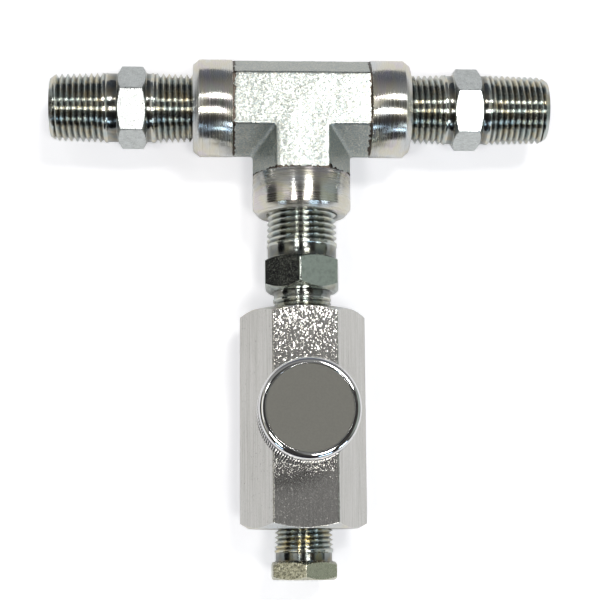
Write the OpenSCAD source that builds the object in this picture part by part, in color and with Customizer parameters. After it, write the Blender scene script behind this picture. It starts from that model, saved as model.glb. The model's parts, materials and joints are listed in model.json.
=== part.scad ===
// Bleed block: a needle bleed valve hung from the branch of a forged pipe tee.
// The block lies on its back: X runs along the tee, Y from the valve to the tee,
// Z out through the knob. The origin is the centre of the valve body's back flat.

/* [Valve body] */
// Width across the flats of the hexagonal bar
valve_af = 33.34; // [31.5:0.01:38]
// Length of the bar between its two port faces
valve_length = 65.5; // [60:0.5:80]
// Diameter of the flat left on each end by the turned chamfer
valve_end_face_d = 33; // [28:0.1:33.2]
// Angle of the turned chamfer from the end face
valve_chamfer_angle = 30; // [15:1:40]
// Depth of each tapped pipe port
port_depth = 15.5; // [13:0.5:17]
// Diameter of the drilled cross passages
passage_d = 5.2; // [3.5:0.1:5.6]
// Distance of the inlet passage behind the valve's axis
inlet_drop = 3.2; // [2.8:0.1:4.2]
// Distance of the needle seat in front of the valve's axis
seat_rise = 1; // [0.6:0.1:1.6]
// Diameter of the seat's orifice
seat_d = 5.2; // [3.6:0.1:6]
// Diameter of the chamber above the seat
chamber_d = 12; // [10.5:0.1:13]

/* [Bonnet] */
// Major diameter of the bonnet's body thread
bonnet_thread_d = 15.88; // [15:0.01:17.2]
// Length of the bonnet below the front flat of the body
bonnet_depth = 9.87; // [9.5:0.01:10.5]
// Width across the flats of the bonnet's hexagon
bonnet_hex_af = 19.05; // [18:0.05:19.6]
// Height of the bonnet's hexagon
bonnet_hex_h = 4.5; // [3:0.1:6]
// Diameter of the round neck above the hexagon
bonnet_neck_d = 15; // [13.5:0.1:16.5]
// Length of the stem thread inside the neck
stem_thread_length = 8.6; // [7:0.1:9.5]
// Depth of the counterbore for the bonnet's seal
bonnet_seal_depth = 1.95; // [1.9:0.05:2.4]

/* [Needle stem] */
// Diameter of the plain needle shank below the seals
needle_d = 6.8; // [6.4:0.1:7]
// Half of the needle's cone angle
needle_half_angle = 30; // [24:1:40]
// Diameter of the flat at the needle's point
needle_point_d = 1.2; // [0.6:0.1:2]
// Diameter of the land that carries the seals
seal_land_d = 11; // [10.6:0.05:11.6]
// Length of the land that carries the seals
seal_land_length = 7.2; // [6.4:0.1:7.6]
// Major diameter of the stem thread
stem_thread_d = 9.52; // [9:0.01:9.9]
// Diameter of the plain end that the knob is fixed to
knob_shank_d = 7.9; // [6.5:0.05:8.2]
// Height of the stem from closed to fully open
stem_travel = 6.35; // [4:0.05:6.8]

/* [Seals] */
// Thickness of the stem's rubber ring
stem_o_ring_w = 1.74; // [1.6:0.01:1.8]
// Thickness of each backup ring
backup_w = 1.1; // [0.8:0.05:1.25]
// Thickness of the bonnet's rubber ring
bonnet_o_ring_w = 1.74; // [1.6:0.01:1.8]

/* [Knob] */
// Diameter of the smooth upper part of the knob
knob_d = 29; // [28:0.1:33]
// Height of the knob
knob_h = 23.6; // [23:0.1:28]
// Gap below the knob when the valve is shut
knob_gap = 1; // [0.6:0.1:2]
// Height of the knurled band
knurl_h = 10.4; // [6:0.1:13]
// How far the knurled band stands out
knurl_out = 0.25; // [0.1:0.05:0.6]
// Thickness of the knob's skirt
knob_wall = 2; // [1.4:0.1:2.2]
// Radius of the knob's rounded upper edge
knob_round = 1.6; // [0.8:0.1:1.7]
// Diameter of the bare disc set in the knob's face
face_disc_d = 24.8; // [18:0.1:25.2]
// Thickness of the disc
face_disc_t = 0.8; // [0.5:0.1:1]
// Diameter of the set screw
set_screw_d = 4.8; // [4:0.1:5]
// Length of the set screw
set_screw_length = 8; // [6:0.5:9]
// Direction of the set screw round the knob
set_screw_angle = 50; // [0:5:355]

/* [Pipe threads] */
// Major diameter at the small end of the half-inch pipe thread
half_inch_d = 20.72; // [20.4:0.01:21]
// Major diameter at the small end of the three-eighths pipe thread
three_eighths_d = 17.06; // [16.8:0.01:17.4]
// Length of the chamfer that starts a male thread
thread_start = 1.2; // [0.6:0.1:1.8]

/* [Pipe tee] */
// Distance from the centre to the end of each run arm
tee_run_reach = 33.6; // [33.2:0.1:40]
// Distance from the centre to the end of the branch arm
tee_branch_reach = 34.2; // [33.2:0.1:40]
// Diameter of the turned bosses
tee_boss_d = 30.3; // [28:0.1:32.5]
// Length of each boss with its end chamfer
tee_boss_length = 12.2; // [9:0.1:14]
// Length of the end chamfer of a boss
tee_chamfer_length = 1.9; // [1:0.1:2.6]
// How much the end chamfer takes off the radius
tee_chamfer_depth = 1.6; // [0.8:0.1:2]
// Distance from a forged arm's axis to its front or back panel
tee_panel_rise = 13.4; // [12.6:0.1:14.4]
// Width of the front and back panels of each forged arm
tee_panel_w = 16.3; // [13:0.1:18]
// Distance from a forged arm's axis to its trimmed parting edge
tee_edge_reach = 15.4; // [15:0.1:16.4]
// Thickness of the trimmed parting edge
tee_edge_t = 3; // [1:0.1:5]
// Depth of each tapped port in the tee
tee_port_depth = 13; // [11:0.5:14]
// Diameter of the drilled waterway in the tee
tee_waterway_d = 17.8; // [15:0.1:18.4]
// Depth of the countersink at the mouth of every tapped port
port_countersink = 0.7; // [0.3:0.1:1]

/* [Run nipples] */
// Width across the flats of the nipples' hexagons
nipple_af = 22.22; // [21.5:0.01:25.5]
// Thickness of the run nipples' hexagons
run_hex_h = 8.6; // [7:0.1:11]
// Diameter of the flat left on each side of a nipple's hexagon
nipple_face_d = 21.9; // [21.4:0.1:22.2]
// Thread and neck of a run nipple on each side of its hexagon
run_thread_length = 21; // [19:0.1:26]
// How much of the left nipple's inner thread stays out of the tee
left_exposed = 14.4; // [12:0.1:15.5]
// How much of the right nipple's inner thread stays out of the tee
right_exposed = 13.7; // [12:0.1:15.5]
// Diameter of the hole through a run nipple
run_bore_d = 14.2; // [10:0.1:15]
// Turn of the run nipples' front flats towards the valve, in degrees
run_hex_turn = 13; // [0:1:60]

/* [Branch nipple] */
// Thickness of the branch nipple's hexagon
branch_hex_h = 10.2; // [8:0.1:13]
// Diameter of the flat left below the branch nipple's hexagon
branch_face_d = 20.6; // [19.5:0.1:22]
// Thread and neck of the branch nipple on its tee side
branch_upper_length = 21; // [19:0.1:26]
// How much of its upper thread stays out of the tee
branch_upper_exposed = 13.9; // [12:0.1:15.5]
// Thread and neck of the branch nipple on its valve side
branch_lower_length = 17; // [15:0.1:20]
// How much of its lower thread stays out of the valve
branch_lower_exposed = 6.2; // [4:0.1:8]
// Diameter of the hole through the branch nipple
branch_bore_d = 10.3; // [6:0.1:11.5]
// Turn of the branch nipple's hexagon, in degrees
branch_hex_turn = -5; // [-30:1:30]

/* [Outlet plug] */
// Width across the flats of the plug's head
plug_af = 19.05; // [18.4:0.05:20.5]
// Thickness of the plug's head
plug_head_h = 5.4; // [4:0.1:8]
// Diameter of the flat left on the plug's head
plug_face_d = 18.3; // [17:0.1:19]
// Thread and neck of the plug
plug_thread_length = 16; // [14:0.1:18]
// How much of the plug's thread stays out of the valve
plug_exposed = 9.7; // [4:0.1:11]
// Turn of the plug's head, in degrees
plug_turn = 1; // [-30:1:30]

/* [Hidden] */
$fn = 72;

// Taper of a pipe thread on its diameter, for each millimetre of length
pipe_taper = 1 / 16;
// Gap between a male and a female thread
thread_clear = 0.05;
// Radial gap of a running or sliding fit
fit_clear = 0.05;
// Gap between a seal and the sides of its groove
seal_clear = 0.05;
// Overlap that lets one cut run cleanly into the next
cut = 0.5;
// How far the bonnet's thread stands above the neck under its hexagon, on the diameter
bonnet_undercut = 1.5;
// Height of the stem's seal land above the bonnet's lower end when the valve is shut
land_rise = 0.4;
// Gap between the bonnet's top and the roof of the knob's skirt when the valve is shut
knob_roof_gap = 0.9;
// Thickness of the web between the knob's bore and the recess for its disc
knob_face_web = 1.2;
// Gap between the top of the stem and the end of the knob's bore
stem_top_gap = 0.4;
// Chamfer at the knob's lower edge
knob_chamfer = 0.5;
// Height of the outlet passage's lowest line above the floor of the chamber
outlet_step = 0.15;

valve_axis_z = valve_af / 2;
front_z = valve_af;
seat_z = valve_axis_z + seat_rise;
outlet_z = seat_z + outlet_step + passage_d / 2;
half_valve = valve_length / 2;

branch_hex_y = half_valve + branch_lower_exposed;
branch_top_y = branch_hex_y + branch_hex_h;
tee_y = branch_top_y + branch_upper_exposed + tee_branch_reach;

bonnet_bottom_z = front_z - bonnet_depth;
seal_land_z = bonnet_bottom_z + land_rise;
bonnet_step_z = seal_land_z + seal_land_length + stem_travel + fit_clear;
bonnet_top_z = bonnet_step_z + stem_thread_length;
bonnet_neck_groove_d = bonnet_thread_d - bonnet_undercut;
bonnet_seal_d = bonnet_neck_groove_d + 2 * bonnet_o_ring_w + 4 * seal_clear;

knob_base_z = front_z + knob_gap;
knob_top_z = knob_base_z + knob_h;
knob_roof_z = bonnet_top_z + knob_roof_gap;
knob_bore_top_z = knob_top_z - face_disc_t - knob_face_web;
set_screw_z = (knob_roof_z + knob_bore_top_z) / 2;
set_screw_start = knob_shank_d / 2 + fit_clear;

seal_groove_d = seal_land_d - 2 * stem_o_ring_w - 4 * seal_clear;
seal_groove_length = stem_o_ring_w + 2 * backup_w + 4 * seal_clear;
seal_groove_z = seal_land_z + (seal_land_length - seal_groove_length) / 2;
o_ring_z = seal_groove_z + seal_clear * 2 + backup_w + stem_o_ring_w / 2;

function pipe_r(small_d, from_end) = small_d / 2 + from_end * pipe_taper / 2;

// Turn the shapes that follow from Z to the valve's axis, with their base at y
module along_y(y) translate([0, y, valve_axis_z]) rotate([-90, 0, 0]) children();

// Hexagonal bar whose ends are turned down to round faces
module turned_hex(af, height, low_face_d, high_face_d, angle) {
    reach = 0.65 * af;
    low_rise = (reach - low_face_d / 2) * tan(angle);
    high_drop = (reach - high_face_d / 2) * tan(angle);
    intersection() {
        cylinder(d = af / cos(30), h = height, $fn = 6);
        rotate_extrude()
            polygon([[0, 0], [low_face_d / 2, 0], [reach, low_rise],
                     [reach, height - high_drop], [high_face_d / 2, height], [0, height]]);
    }
}

// Male pipe thread: a tapered envelope with its small, chamfered end at the base
module male_pipe(small_d, length) {
    rotate_extrude()
        polygon([[0, 0], [small_d / 2 - thread_start * 0.7, 0],
                 [pipe_r(small_d, thread_start), thread_start],
                 [pipe_r(small_d, length), length], [0, length]]);
}

// Tapped pipe port, cut upwards from its mouth; engaged is how far the male thread goes in
module pipe_port(small_d, depth, engaged) {
    mouth_r = pipe_r(small_d, engaged) + thread_clear;
    rotate_extrude()
        polygon([[0, -cut], [mouth_r + port_countersink + cut, -cut],
                 [mouth_r - port_countersink * pipe_taper / 2, port_countersink],
                 [mouth_r - depth * pipe_taper / 2, depth], [0, depth]]);
}

// Rubber ring lying flat, centred on its own height
module ring_seal(inner_d, section) {
    rotate_extrude() translate([(inner_d + section) / 2, 0]) circle(d = section, $fn = 32);
}

// One arm of the tee, pointing along Z with its front panel towards X: a forged arm with
// two panels, four bevels and two trimmed parting edges, and a turned boss
module tee_arm(reach) {
    panel = tee_panel_w / 2;
    edge = tee_edge_t / 2;
    linear_extrude(height = reach - tee_boss_length + cut)
        polygon([[tee_panel_rise, -panel], [tee_panel_rise, panel], [edge, tee_edge_reach],
                 [-edge, tee_edge_reach], [-tee_panel_rise, panel], [-tee_panel_rise, -panel],
                 [-edge, -tee_edge_reach], [edge, -tee_edge_reach]]);
    translate([0, 0, reach - tee_boss_length])
        rotate_extrude()
            polygon([[0, 0], [tee_boss_d / 2, 0],
                     [tee_boss_d / 2, tee_boss_length - tee_chamfer_length],
                     [tee_boss_d / 2 - tee_chamfer_depth, tee_boss_length], [0, tee_boss_length]]);
}

// Waterway and tapped port of one arm of the tee
module tee_waterway(reach, engaged) {
    cylinder(d = tee_waterway_d, h = reach);
    translate([0, 0, reach]) mirror([0, 0, 1]) pipe_port(half_inch_d, tee_port_depth, engaged);
}

module tee_body() {
    left_engaged = run_thread_length - left_exposed;
    right_engaged = run_thread_length - right_exposed;
    branch_engaged = branch_upper_length - branch_upper_exposed;
    color([0.72, 0.73, 0.70])
        translate([0, tee_y, valve_axis_z])
            difference() {
                union() {
                    rotate([0, 90, 0]) tee_arm(tee_run_reach);
                    rotate([0, -90, 0]) tee_arm(tee_run_reach);
                    rotate([90, 0, 0]) rotate([0, 0, 90]) tee_arm(tee_branch_reach);
                }
                rotate([0, 90, 0]) tee_waterway(tee_run_reach, right_engaged);
                rotate([0, -90, 0]) tee_waterway(tee_run_reach, left_engaged);
                rotate([90, 0, 0]) tee_waterway(tee_branch_reach, branch_engaged);
            }
}

// Hexagon nipple along Z, with its hexagon standing on the base plane
module run_nipple() {
    difference() {
        union() {
            turned_hex(nipple_af, run_hex_h, nipple_face_d, nipple_face_d, 30);
            translate([0, 0, run_hex_h + run_thread_length])
                mirror([0, 0, 1]) male_pipe(half_inch_d, run_thread_length + cut);
            translate([0, 0, -run_thread_length])
                male_pipe(half_inch_d, run_thread_length + cut);
        }
        translate([0, 0, -run_thread_length - cut])
            cylinder(d = run_bore_d, h = 2 * run_thread_length + run_hex_h + 2 * cut);
    }
}

module left_run_nipple() {
    color([0.78, 0.79, 0.80])
        translate([-tee_run_reach - left_exposed, tee_y, valve_axis_z])
            rotate([0, -90, 0]) rotate([0, 0, run_hex_turn]) run_nipple();
}

module right_run_nipple() {
    color([0.78, 0.79, 0.80])
        translate([tee_run_reach + right_exposed, tee_y, valve_axis_z])
            rotate([0, 90, 0]) rotate([0, 0, -run_hex_turn]) run_nipple();
}

module branch_nipple() {
    upper_y = branch_top_y + branch_upper_length;
    lower_y = branch_hex_y - branch_lower_length;
    color([0.75, 0.77, 0.76])
        difference() {
            union() {
                along_y(branch_hex_y)
                    rotate([0, 0, 30 + branch_hex_turn])
                        turned_hex(nipple_af, branch_hex_h, branch_face_d, nipple_face_d, 40);
                along_y(upper_y)
                    mirror([0, 0, 1]) male_pipe(half_inch_d, branch_upper_length + cut);
                along_y(lower_y) male_pipe(three_eighths_d, branch_lower_length + cut);
            }
            along_y(lower_y - cut) cylinder(d = branch_bore_d, h = upper_y - lower_y + 2 * cut);
        }
}

module valve_body() {
    inlet_engaged = branch_lower_length - branch_lower_exposed;
    outlet_engaged = plug_thread_length - plug_exposed;
    passage_start = half_valve - port_depth + cut;
    color([0.71, 0.71, 0.70])
        difference() {
            along_y(-half_valve)
                turned_hex(valve_af, valve_length, valve_end_face_d, valve_end_face_d,
                           valve_chamfer_angle);
            along_y(half_valve)
                mirror([0, 0, 1]) pipe_port(three_eighths_d, port_depth, inlet_engaged);
            along_y(-half_valve) pipe_port(three_eighths_d, port_depth, outlet_engaged);
            translate([0, 0, -inlet_drop])
                along_y(-seat_d / 2) cylinder(d = passage_d, h = passage_start + seat_d / 2);
            translate([0, 0, outlet_z - valve_axis_z])
                along_y(-passage_start) cylinder(d = passage_d, h = passage_start);
            translate([0, 0, valve_axis_z - inlet_drop])
                cylinder(d = seat_d, h = seat_rise + inlet_drop + cut);
            translate([0, 0, seat_z])
                cylinder(d = chamber_d, h = bonnet_bottom_z - seat_z + cut);
            translate([0, 0, bonnet_bottom_z - cut / 2])
                cylinder(d = bonnet_thread_d + 2 * thread_clear, h = bonnet_depth + cut);
            translate([0, 0, front_z - bonnet_seal_depth])
                cylinder(d = bonnet_seal_d, h = bonnet_seal_depth + cut);
        }
}

module outlet_plug() {
    color([0.70, 0.71, 0.62])
        union() {
            along_y(-half_valve - plug_exposed - plug_head_h)
                rotate([0, 0, 30 + plug_turn])
                    turned_hex(plug_af, plug_head_h, plug_face_d, plug_face_d, 30);
            along_y(-half_valve - plug_exposed + plug_thread_length)
                mirror([0, 0, 1]) male_pipe(three_eighths_d, plug_thread_length + cut);
        }
}

// Bonnet: screws into the body, guides the stem and carries its thread
module bonnet() {
    neck_h = bonnet_top_z - front_z;
    neck_edge = 0.8;
    color([0.62, 0.63, 0.64])
        difference() {
            union() {
                translate([0, 0, bonnet_bottom_z])
                    cylinder(d = bonnet_thread_d, h = bonnet_depth - bonnet_seal_depth);
                translate([0, 0, front_z - bonnet_seal_depth - cut])
                    cylinder(d = bonnet_neck_groove_d, h = bonnet_seal_depth + 2 * cut);
                translate([0, 0, front_z])
                    turned_hex(bonnet_hex_af, bonnet_hex_h, bonnet_hex_af - 0.4,
                               bonnet_hex_af - 0.4, 30);
                translate([0, 0, front_z]) {
                    cylinder(d = bonnet_neck_d, h = neck_h - neck_edge);
                    translate([0, 0, neck_h - neck_edge])
                        cylinder(d1 = bonnet_neck_d, d2 = bonnet_neck_d - 2 * neck_edge,
                                 h = neck_edge);
                }
            }
            translate([0, 0, bonnet_bottom_z - cut])
                cylinder(d = seal_land_d + 2 * fit_clear, h = bonnet_step_z - bonnet_bottom_z + cut);
            translate([0, 0, bonnet_step_z - cut])
                cylinder(d = stem_thread_d + 2 * fit_clear, h = stem_thread_length + 2 * cut);
        }
}

module bonnet_o_ring() {
    color([0.08, 0.08, 0.08])
        translate([0, 0, front_z - bonnet_seal_depth / 2])
            ring_seal(bonnet_neck_groove_d + 2 * seal_clear, bonnet_o_ring_w);
}

// Needle stem: point, shank, seal land with its groove, thread, and end for the knob
module needle_stem() {
    thread_end_z = bonnet_top_z + 0.5;
    stem_top_z = knob_bore_top_z - stem_top_gap;
    slope = tan(needle_half_angle);
    seat_r = seat_d / 2 - fit_clear;
    point_z = seat_z - (seat_r - needle_point_d / 2) / slope;
    cone_top_z = seat_z + (needle_d / 2 - seat_r) / slope;
    groove_end_z = seal_groove_z + seal_groove_length;
    color([0.66, 0.66, 0.68])
        rotate_extrude()
            polygon([[0, point_z], [needle_point_d / 2, point_z], [needle_d / 2, cone_top_z],
                     [needle_d / 2, seal_land_z], [seal_land_d / 2, seal_land_z],
                     [seal_land_d / 2, seal_groove_z], [seal_groove_d / 2, seal_groove_z],
                     [seal_groove_d / 2, groove_end_z], [seal_land_d / 2, groove_end_z],
                     [seal_land_d / 2, seal_land_z + seal_land_length],
                     [stem_thread_d / 2, seal_land_z + seal_land_length],
                     [stem_thread_d / 2, thread_end_z], [knob_shank_d / 2, thread_end_z],
                     [knob_shank_d / 2, stem_top_z], [0, stem_top_z]]);
}

module stem_o_ring() {
    color([0.08, 0.08, 0.08])
        translate([0, 0, o_ring_z]) ring_seal(seal_groove_d + 2 * seal_clear, stem_o_ring_w);
}

// Flat backup ring with its lower face at z
module backup_ring(z) {
    color([0.92, 0.91, 0.86])
        translate([0, 0, z])
            difference() {
                cylinder(d = seal_land_d, h = backup_w);
                translate([0, 0, -cut])
                    cylinder(d = seal_groove_d + 2 * seal_clear, h = backup_w + 2 * cut);
            }
}

module stem_backup_ring_lower() {
    backup_ring(seal_groove_z + seal_clear);
}

module stem_backup_ring_upper() {
    backup_ring(o_ring_z + stem_o_ring_w / 2 + seal_clear);
}

// Knob: a turned shell with a hub, a knurled band, a rounded rim and a recess for the disc
module knob() {
    rim_r = knob_d / 2;
    arc_steps = 8;
    rim_arc = [for (i = [0 : arc_steps])
        [rim_r - knob_round + knob_round * cos(i * 90 / arc_steps),
         knob_top_z - knob_round + knob_round * sin(i * 90 / arc_steps)]];
    color([0.80, 0.80, 0.80])
        difference() {
            rotate_extrude()
                polygon(concat(
                    [[0, knob_base_z], [rim_r - knob_chamfer, knob_base_z],
                     [rim_r, knob_base_z + knob_chamfer],
                     [rim_r + knurl_out, knob_base_z + knob_chamfer + knurl_out],
                     [rim_r + knurl_out, knob_base_z + knurl_h],
                     [rim_r, knob_base_z + knurl_h + knurl_out]],
                    rim_arc, [[0, knob_top_z]]));
            translate([0, 0, knob_base_z - cut])
                cylinder(d = knob_d - 2 * knob_wall, h = knob_roof_z - knob_base_z + cut);
            translate([0, 0, knob_roof_z - cut])
                cylinder(d = knob_shank_d + 2 * fit_clear, h = knob_bore_top_z - knob_roof_z + cut);
            translate([0, 0, knob_top_z - face_disc_t])
                cylinder(d = face_disc_d + 2 * fit_clear, h = face_disc_t + cut);
            set_screw_place(knob_shank_d / 2)
                cylinder(d = set_screw_d + 2 * thread_clear, h = knob_d);
        }
}

// Put a shape on the set screw's line, with its base at a radius from the stem's axis
module set_screw_place(radius) {
    translate([0, 0, set_screw_z])
        rotate([0, 0, set_screw_angle]) translate([radius, 0, 0]) rotate([0, 90, 0]) children();
}

module knob_set_screw() {
    socket_af = set_screw_d / 2;
    socket_depth = 2.5;
    point = 0.6;
    color([0.15, 0.15, 0.16])
        set_screw_place(set_screw_start)
            difference() {
                rotate_extrude()
                    polygon([[0, 0], [set_screw_d / 2 - point, 0], [set_screw_d / 2, point],
                             [set_screw_d / 2, set_screw_length], [0, set_screw_length]]);
                translate([0, 0, set_screw_length - socket_depth])
                    cylinder(d = socket_af / cos(30), h = socket_depth + cut, $fn = 6);
            }
}

module knob_face_disc() {
    color([0.44, 0.44, 0.41])
        translate([0, 0, knob_top_z - face_disc_t]) cylinder(d = face_disc_d, h = face_disc_t);
}

tee_body();
left_run_nipple();
right_run_nipple();
branch_nipple();
valve_body();
outlet_plug();
bonnet();
bonnet_o_ring();
needle_stem();
stem_o_ring();
stem_backup_ring_lower();
stem_backup_ring_upper();
knob();
knob_set_screw();
knob_face_disc();
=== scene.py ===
"""The looks of the bleed block, in the frame of its CAD model.

Lengths are millimetres, but metres for the table, the lights and the camera.
"""

import json
import math

import bmesh
import bpy
from mathutils import Matrix, Vector, noise

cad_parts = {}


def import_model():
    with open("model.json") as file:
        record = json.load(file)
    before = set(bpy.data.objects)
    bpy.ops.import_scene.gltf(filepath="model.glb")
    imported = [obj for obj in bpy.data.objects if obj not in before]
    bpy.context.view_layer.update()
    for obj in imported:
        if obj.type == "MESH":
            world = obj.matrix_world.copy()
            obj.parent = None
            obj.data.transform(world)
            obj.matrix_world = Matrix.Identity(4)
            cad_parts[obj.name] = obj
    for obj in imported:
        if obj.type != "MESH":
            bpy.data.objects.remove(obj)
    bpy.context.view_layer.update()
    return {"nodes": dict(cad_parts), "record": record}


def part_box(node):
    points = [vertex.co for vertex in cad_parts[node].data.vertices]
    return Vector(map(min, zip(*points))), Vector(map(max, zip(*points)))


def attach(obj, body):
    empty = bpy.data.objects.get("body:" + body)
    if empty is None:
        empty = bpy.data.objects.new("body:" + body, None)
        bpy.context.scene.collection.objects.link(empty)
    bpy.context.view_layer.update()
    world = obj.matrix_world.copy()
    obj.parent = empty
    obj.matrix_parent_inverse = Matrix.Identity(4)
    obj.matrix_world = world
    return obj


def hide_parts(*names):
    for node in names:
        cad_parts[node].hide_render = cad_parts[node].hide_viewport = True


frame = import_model()

MM = 0.001
TAN30 = math.tan(math.radians(30))
COS30 = math.cos(math.radians(30))

# Pipe threads: taper on the radius, pitches, and radius of the crest at the small end
PIPE_TAPER = 1 / 32
HALF_INCH_PITCH = 25.4 / 14
THREE_EIGHTHS_PITCH = 25.4 / 18
HALF_INCH_R = 10.36
THREE_EIGHTHS_R = 8.53
# Full depth of a thread, and length of its run-out at the neck, as shares of the pitch
THREAD_DEPTH, THREAD_RUN_OUT = 0.76, 1.1
# Smooth length at the end of the pipe, and the length over which the thread then reaches its depth
THREAD_SMOOTH, THREAD_RUN_IN = 1.1, 0.5
# Chamfer at the end of the pipe: how far it drops the radius, and its rise on each millimetre
THREAD_START_DROP, THREAD_START_SLOPE = 1.25, 0.66
# Radial gap between a male and a female thread
THREAD_GAP = 0.05
# One turn of a thread: share of the pitch, and depth there as a share of the full depth
THREAD_ROWS = ((0.0, 1.0), (0.035, 0.97), (0.25, 0.5), (0.45, 0.05),
               (0.5, 0.0), (0.55, 0.05), (0.75, 0.5), (0.965, 0.97))

BODY_OF = {node: body for body, nodes in frame["record"]["behaviour"]["bodies"].items()
           for node in nodes}


def cad_box(node):
    """Lowest and highest corner of a CAD node, in millimetres."""
    low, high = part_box(node)
    return low / MM, high / MM


# Mesh building

def value(thing, angle):
    """A number as it is, or a function's value at the angle."""
    return thing(angle) if callable(thing) else thing


def round_columns(count):
    """Evenly spaced angles for the rings of a round piece."""
    return [360 * i / count for i in range(count)]


def hex_columns(turn):
    """Angles for the rings of a piece with a hexagon, closer together round its corners."""
    steps = (0, 0.55, 1.1, 1.7, 5, 10, 15, 20, 25, 30)
    return sorted({round((60 * corner + side * step + turn) % 360, 4)
                   for corner in range(6) for step in steps for side in (1, -1)})


def hexagon(af, corner_r, turn):
    """Radius of a hexagon with rounded corners, as a function of the angle in degrees."""
    flat = af / 2
    tangent = 30 - math.degrees(math.atan((flat - corner_r) * TAN30 / flat))
    centre = (flat - corner_r) / COS30

    def radius(angle):
        off = abs((angle - turn + 30) % 60 - 30)
        if off >= tangent:
            return flat / math.cos(math.radians(30 - off))
        side = centre * math.sin(math.radians(off))
        return centre * math.cos(math.radians(off)) + math.sqrt(corner_r ** 2 - side ** 2)

    return radius


class Skin:
    """A mesh of rings round local Z that share the same columns. slot is the finish of the next faces."""

    def __init__(self, angles):
        self.angles = angles
        self.turns = [(math.cos(math.radians(a)), math.sin(math.radians(a))) for a in angles]
        self.points, self.faces, self.slots = [], [], []
        self.first = self.last = None
        self.slot = 0

    def row(self, spots):
        """Adds one point for each column and gives their numbers."""
        start = len(self.points)
        for (c, s), (z, r) in zip(self.turns, spots):
            self.points.append((r * c, r * s, z))
        return list(range(start, len(self.points)))

    def face(self, *corners):
        """A face with the current finish."""
        self.faces.append(corners)
        self.slots.append(self.slot)

    def join(self, low, high):
        """Faces between two rows."""
        count = len(self.angles)
        for i in range(count):
            j = (i + 1) % count
            self.face(low[i], low[j], high[j], high[i])

    def ring(self, z, radius):
        """The next ring: z and radius are numbers, or functions of the angle."""
        row = self.row([(value(z, a), value(radius, a)) for a in self.angles])
        if self.last is None:
            self.first = row
        else:
            self.join(self.last, row)
        self.last = row
        return self

    def rings(self, *spots):
        for z, radius in spots:
            self.ring(z, radius)
        return self

    def arc(self, z, r, size, start, end, steps):
        """Rings on an arc round (z, r); angles in degrees from the outward direction to +Z."""
        for i in range(steps + 1):
            a = math.radians(start + (end - start) * i / steps)
            self.ring(z + size * math.sin(a), r + size * math.cos(a))
        return self

    def thread(self, z0, z1, pitch, crest, share, limit):
        """A right-handed thread from z0 to z1. Each row follows the helix, clamped to the ends.

        crest is the outer radius, share the share of the full depth and limit the largest radius,
        each a function of z.
        """
        depth = THREAD_DEPTH * pitch
        per_turn = len(THREAD_ROWS)
        turns = math.ceil((z1 - z0) / pitch) + 2
        count = len(self.angles)
        rows = []
        for k in range(turns * per_turn + 1):
            phase, low = THREAD_ROWS[k % per_turn]
            spots = []
            for angle in self.angles:
                z = z0 + pitch * (k // per_turn - 1 + phase + angle / 360)
                z = min(max(z, z0), z1)
                r = min(crest(z) - depth * low * share(z), limit(z))
                spots.append((z, r))
            rows.append(self.row(spots))
        self.join(self.last, rows[0])
        top = len(rows) - 1
        for k in range(top):
            for i in range(count - 1):
                self.face(rows[k][i], rows[k][i + 1], rows[k + 1][i + 1], rows[k + 1][i])
            a, b = min(k + per_turn, top), min(k + 1 + per_turn, top)
            self.face(rows[k][-1], rows[a][0], rows[b][0], rows[k + 1][-1])
        self.last = rows[-1]
        return self

    def close(self):
        """Joins the last ring to the first one, which makes a tube."""
        self.join(self.last, self.first)
        return self

    def build(self, name, place, sharp=38):
        return build_mesh(name, self.points, self.faces, self.slots, place, sharp)


def build_mesh(name, points, faces, slots, place, sharp):
    """The mesh as an object. Points that meet are welded and edges over the sharp angle stay sharp."""
    mesh = bpy.data.meshes.new(name)
    mesh.from_pydata(points, [], faces)
    mesh.polygons.foreach_set("material_index", slots)
    bm = bmesh.new()
    bm.from_mesh(mesh)
    bmesh.ops.remove_doubles(bm, verts=bm.verts, dist=2e-4)
    bmesh.ops.dissolve_degenerate(bm, edges=bm.edges, dist=1e-5)
    bmesh.ops.recalc_face_normals(bm, faces=bm.faces)
    bm.transform(Matrix.Scale(MM, 4) @ place)
    bm.to_mesh(mesh)
    bm.free()
    obj = add_object(name, mesh)
    shade(obj, sharp)
    return obj


def add_object(name, data):
    """A new object in the scene."""
    obj = bpy.data.objects.new(name, data)
    bpy.context.scene.collection.objects.link(obj)
    return obj


def shade(obj, sharp):
    """Smooth shading, with edges over the sharp angle kept sharp."""
    obj.data.shade_smooth()
    obj.data.set_sharp_from_angle(angle=math.radians(sharp))


def apply_modifiers(obj):
    """Turns what the modifiers make into the object's own mesh."""
    graph = bpy.context.evaluated_depsgraph_get()
    made = bpy.data.meshes.new_from_object(obj.evaluated_get(graph))
    obj.modifiers.clear()
    obj.data = made


def combine(obj, others, operation):
    """Union or difference of obj with each of the others, which are then removed."""
    for other in others:
        step = obj.modifiers.new("combine", "BOOLEAN")
        step.operation = operation
        step.solver = "MANIFOLD"
        step.object = other
        apply_modifiers(obj)
        bpy.data.objects.remove(other)


def along_x(x, y, z):
    """Puts a piece's local Z along +X from a place; the next three do so for -X, +Y and -Y."""
    return Matrix.Translation((x, y, z)) @ Matrix.Rotation(math.radians(90), 4, "Y")


def against_x(x, y, z):
    return Matrix.Translation((x, y, z)) @ Matrix.Rotation(math.radians(-90), 4, "Y")


def along_y(x, y, z):
    return Matrix.Translation((x, y, z)) @ Matrix.Rotation(math.radians(-90), 4, "X")


def against_y(x, y, z):
    return Matrix.Translation((x, y, z)) @ Matrix.Rotation(math.radians(90), 4, "X")


# Materials

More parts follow.
